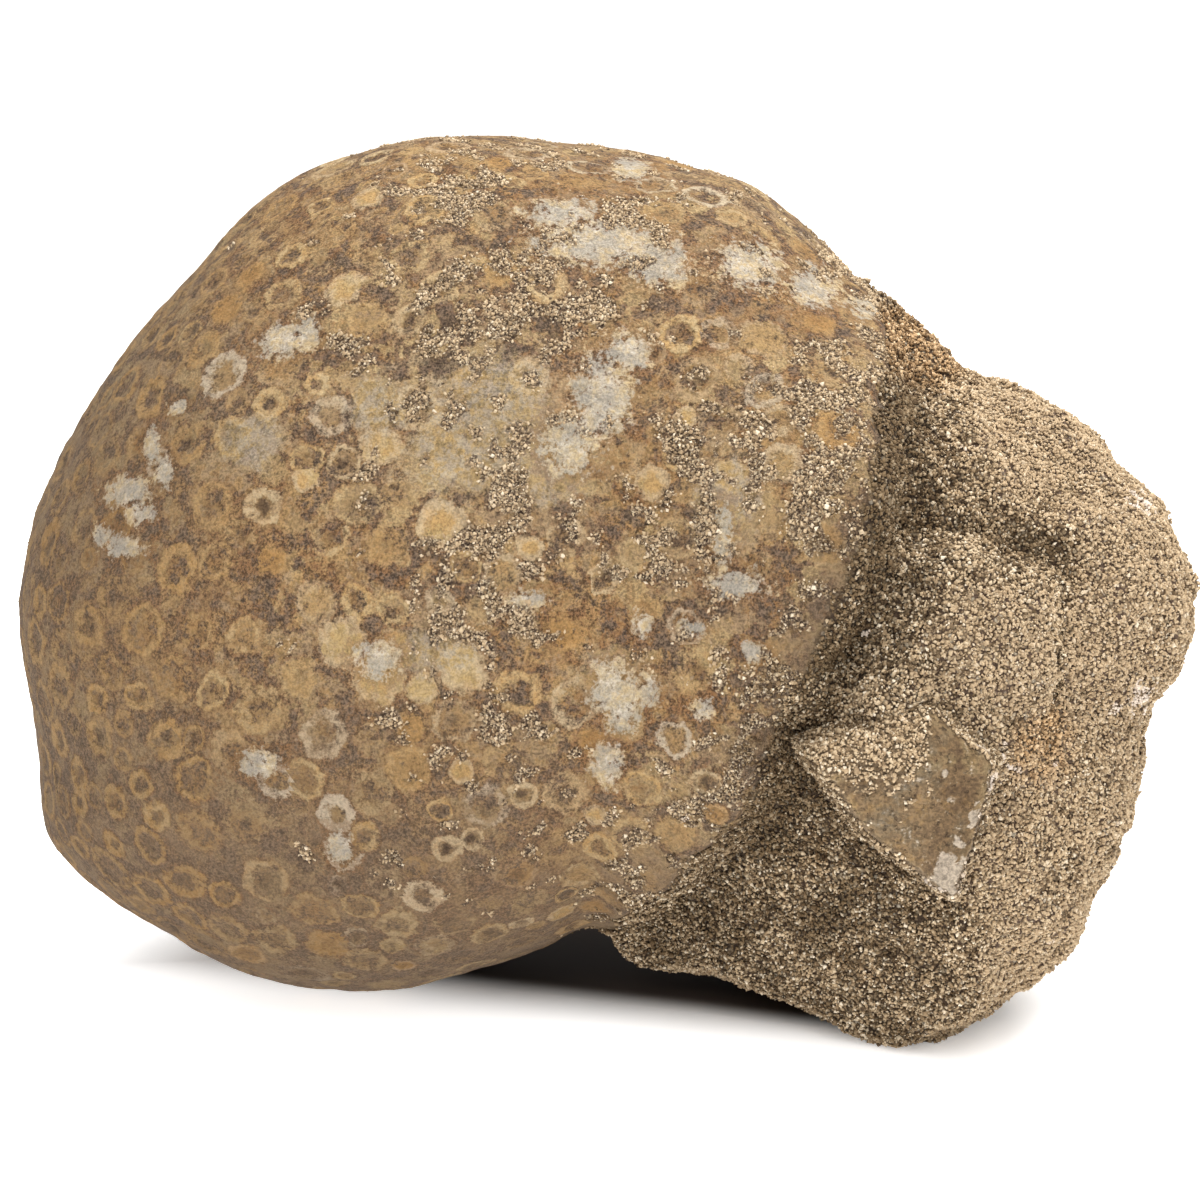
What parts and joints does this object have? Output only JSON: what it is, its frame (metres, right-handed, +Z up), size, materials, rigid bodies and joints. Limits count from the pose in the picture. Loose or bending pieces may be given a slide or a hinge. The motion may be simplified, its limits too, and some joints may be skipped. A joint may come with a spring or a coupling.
{
  "type": "fossil coral",
  "caption": "Rounded fossil coral colony dotted with ring-shaped coral tubes, still joined to rough grainy sandstone, lying as a loose stone on its two feet.",
  "frame": {"origin": "on the floor below the middle of the stone's length and depth, as it lies", "axes": "+X along the length from the coral dome to the sandstone, +Y into the back, +Z up; the viewer stands at -Y"},
  "size_m": [0.1476, 0.0992, 0.1088],
  "materials": {
    "stone": "weathered"
  },
  "bodies": {
    "root": {"fossil_coral": "stone"}
  },
  "joints": []
}
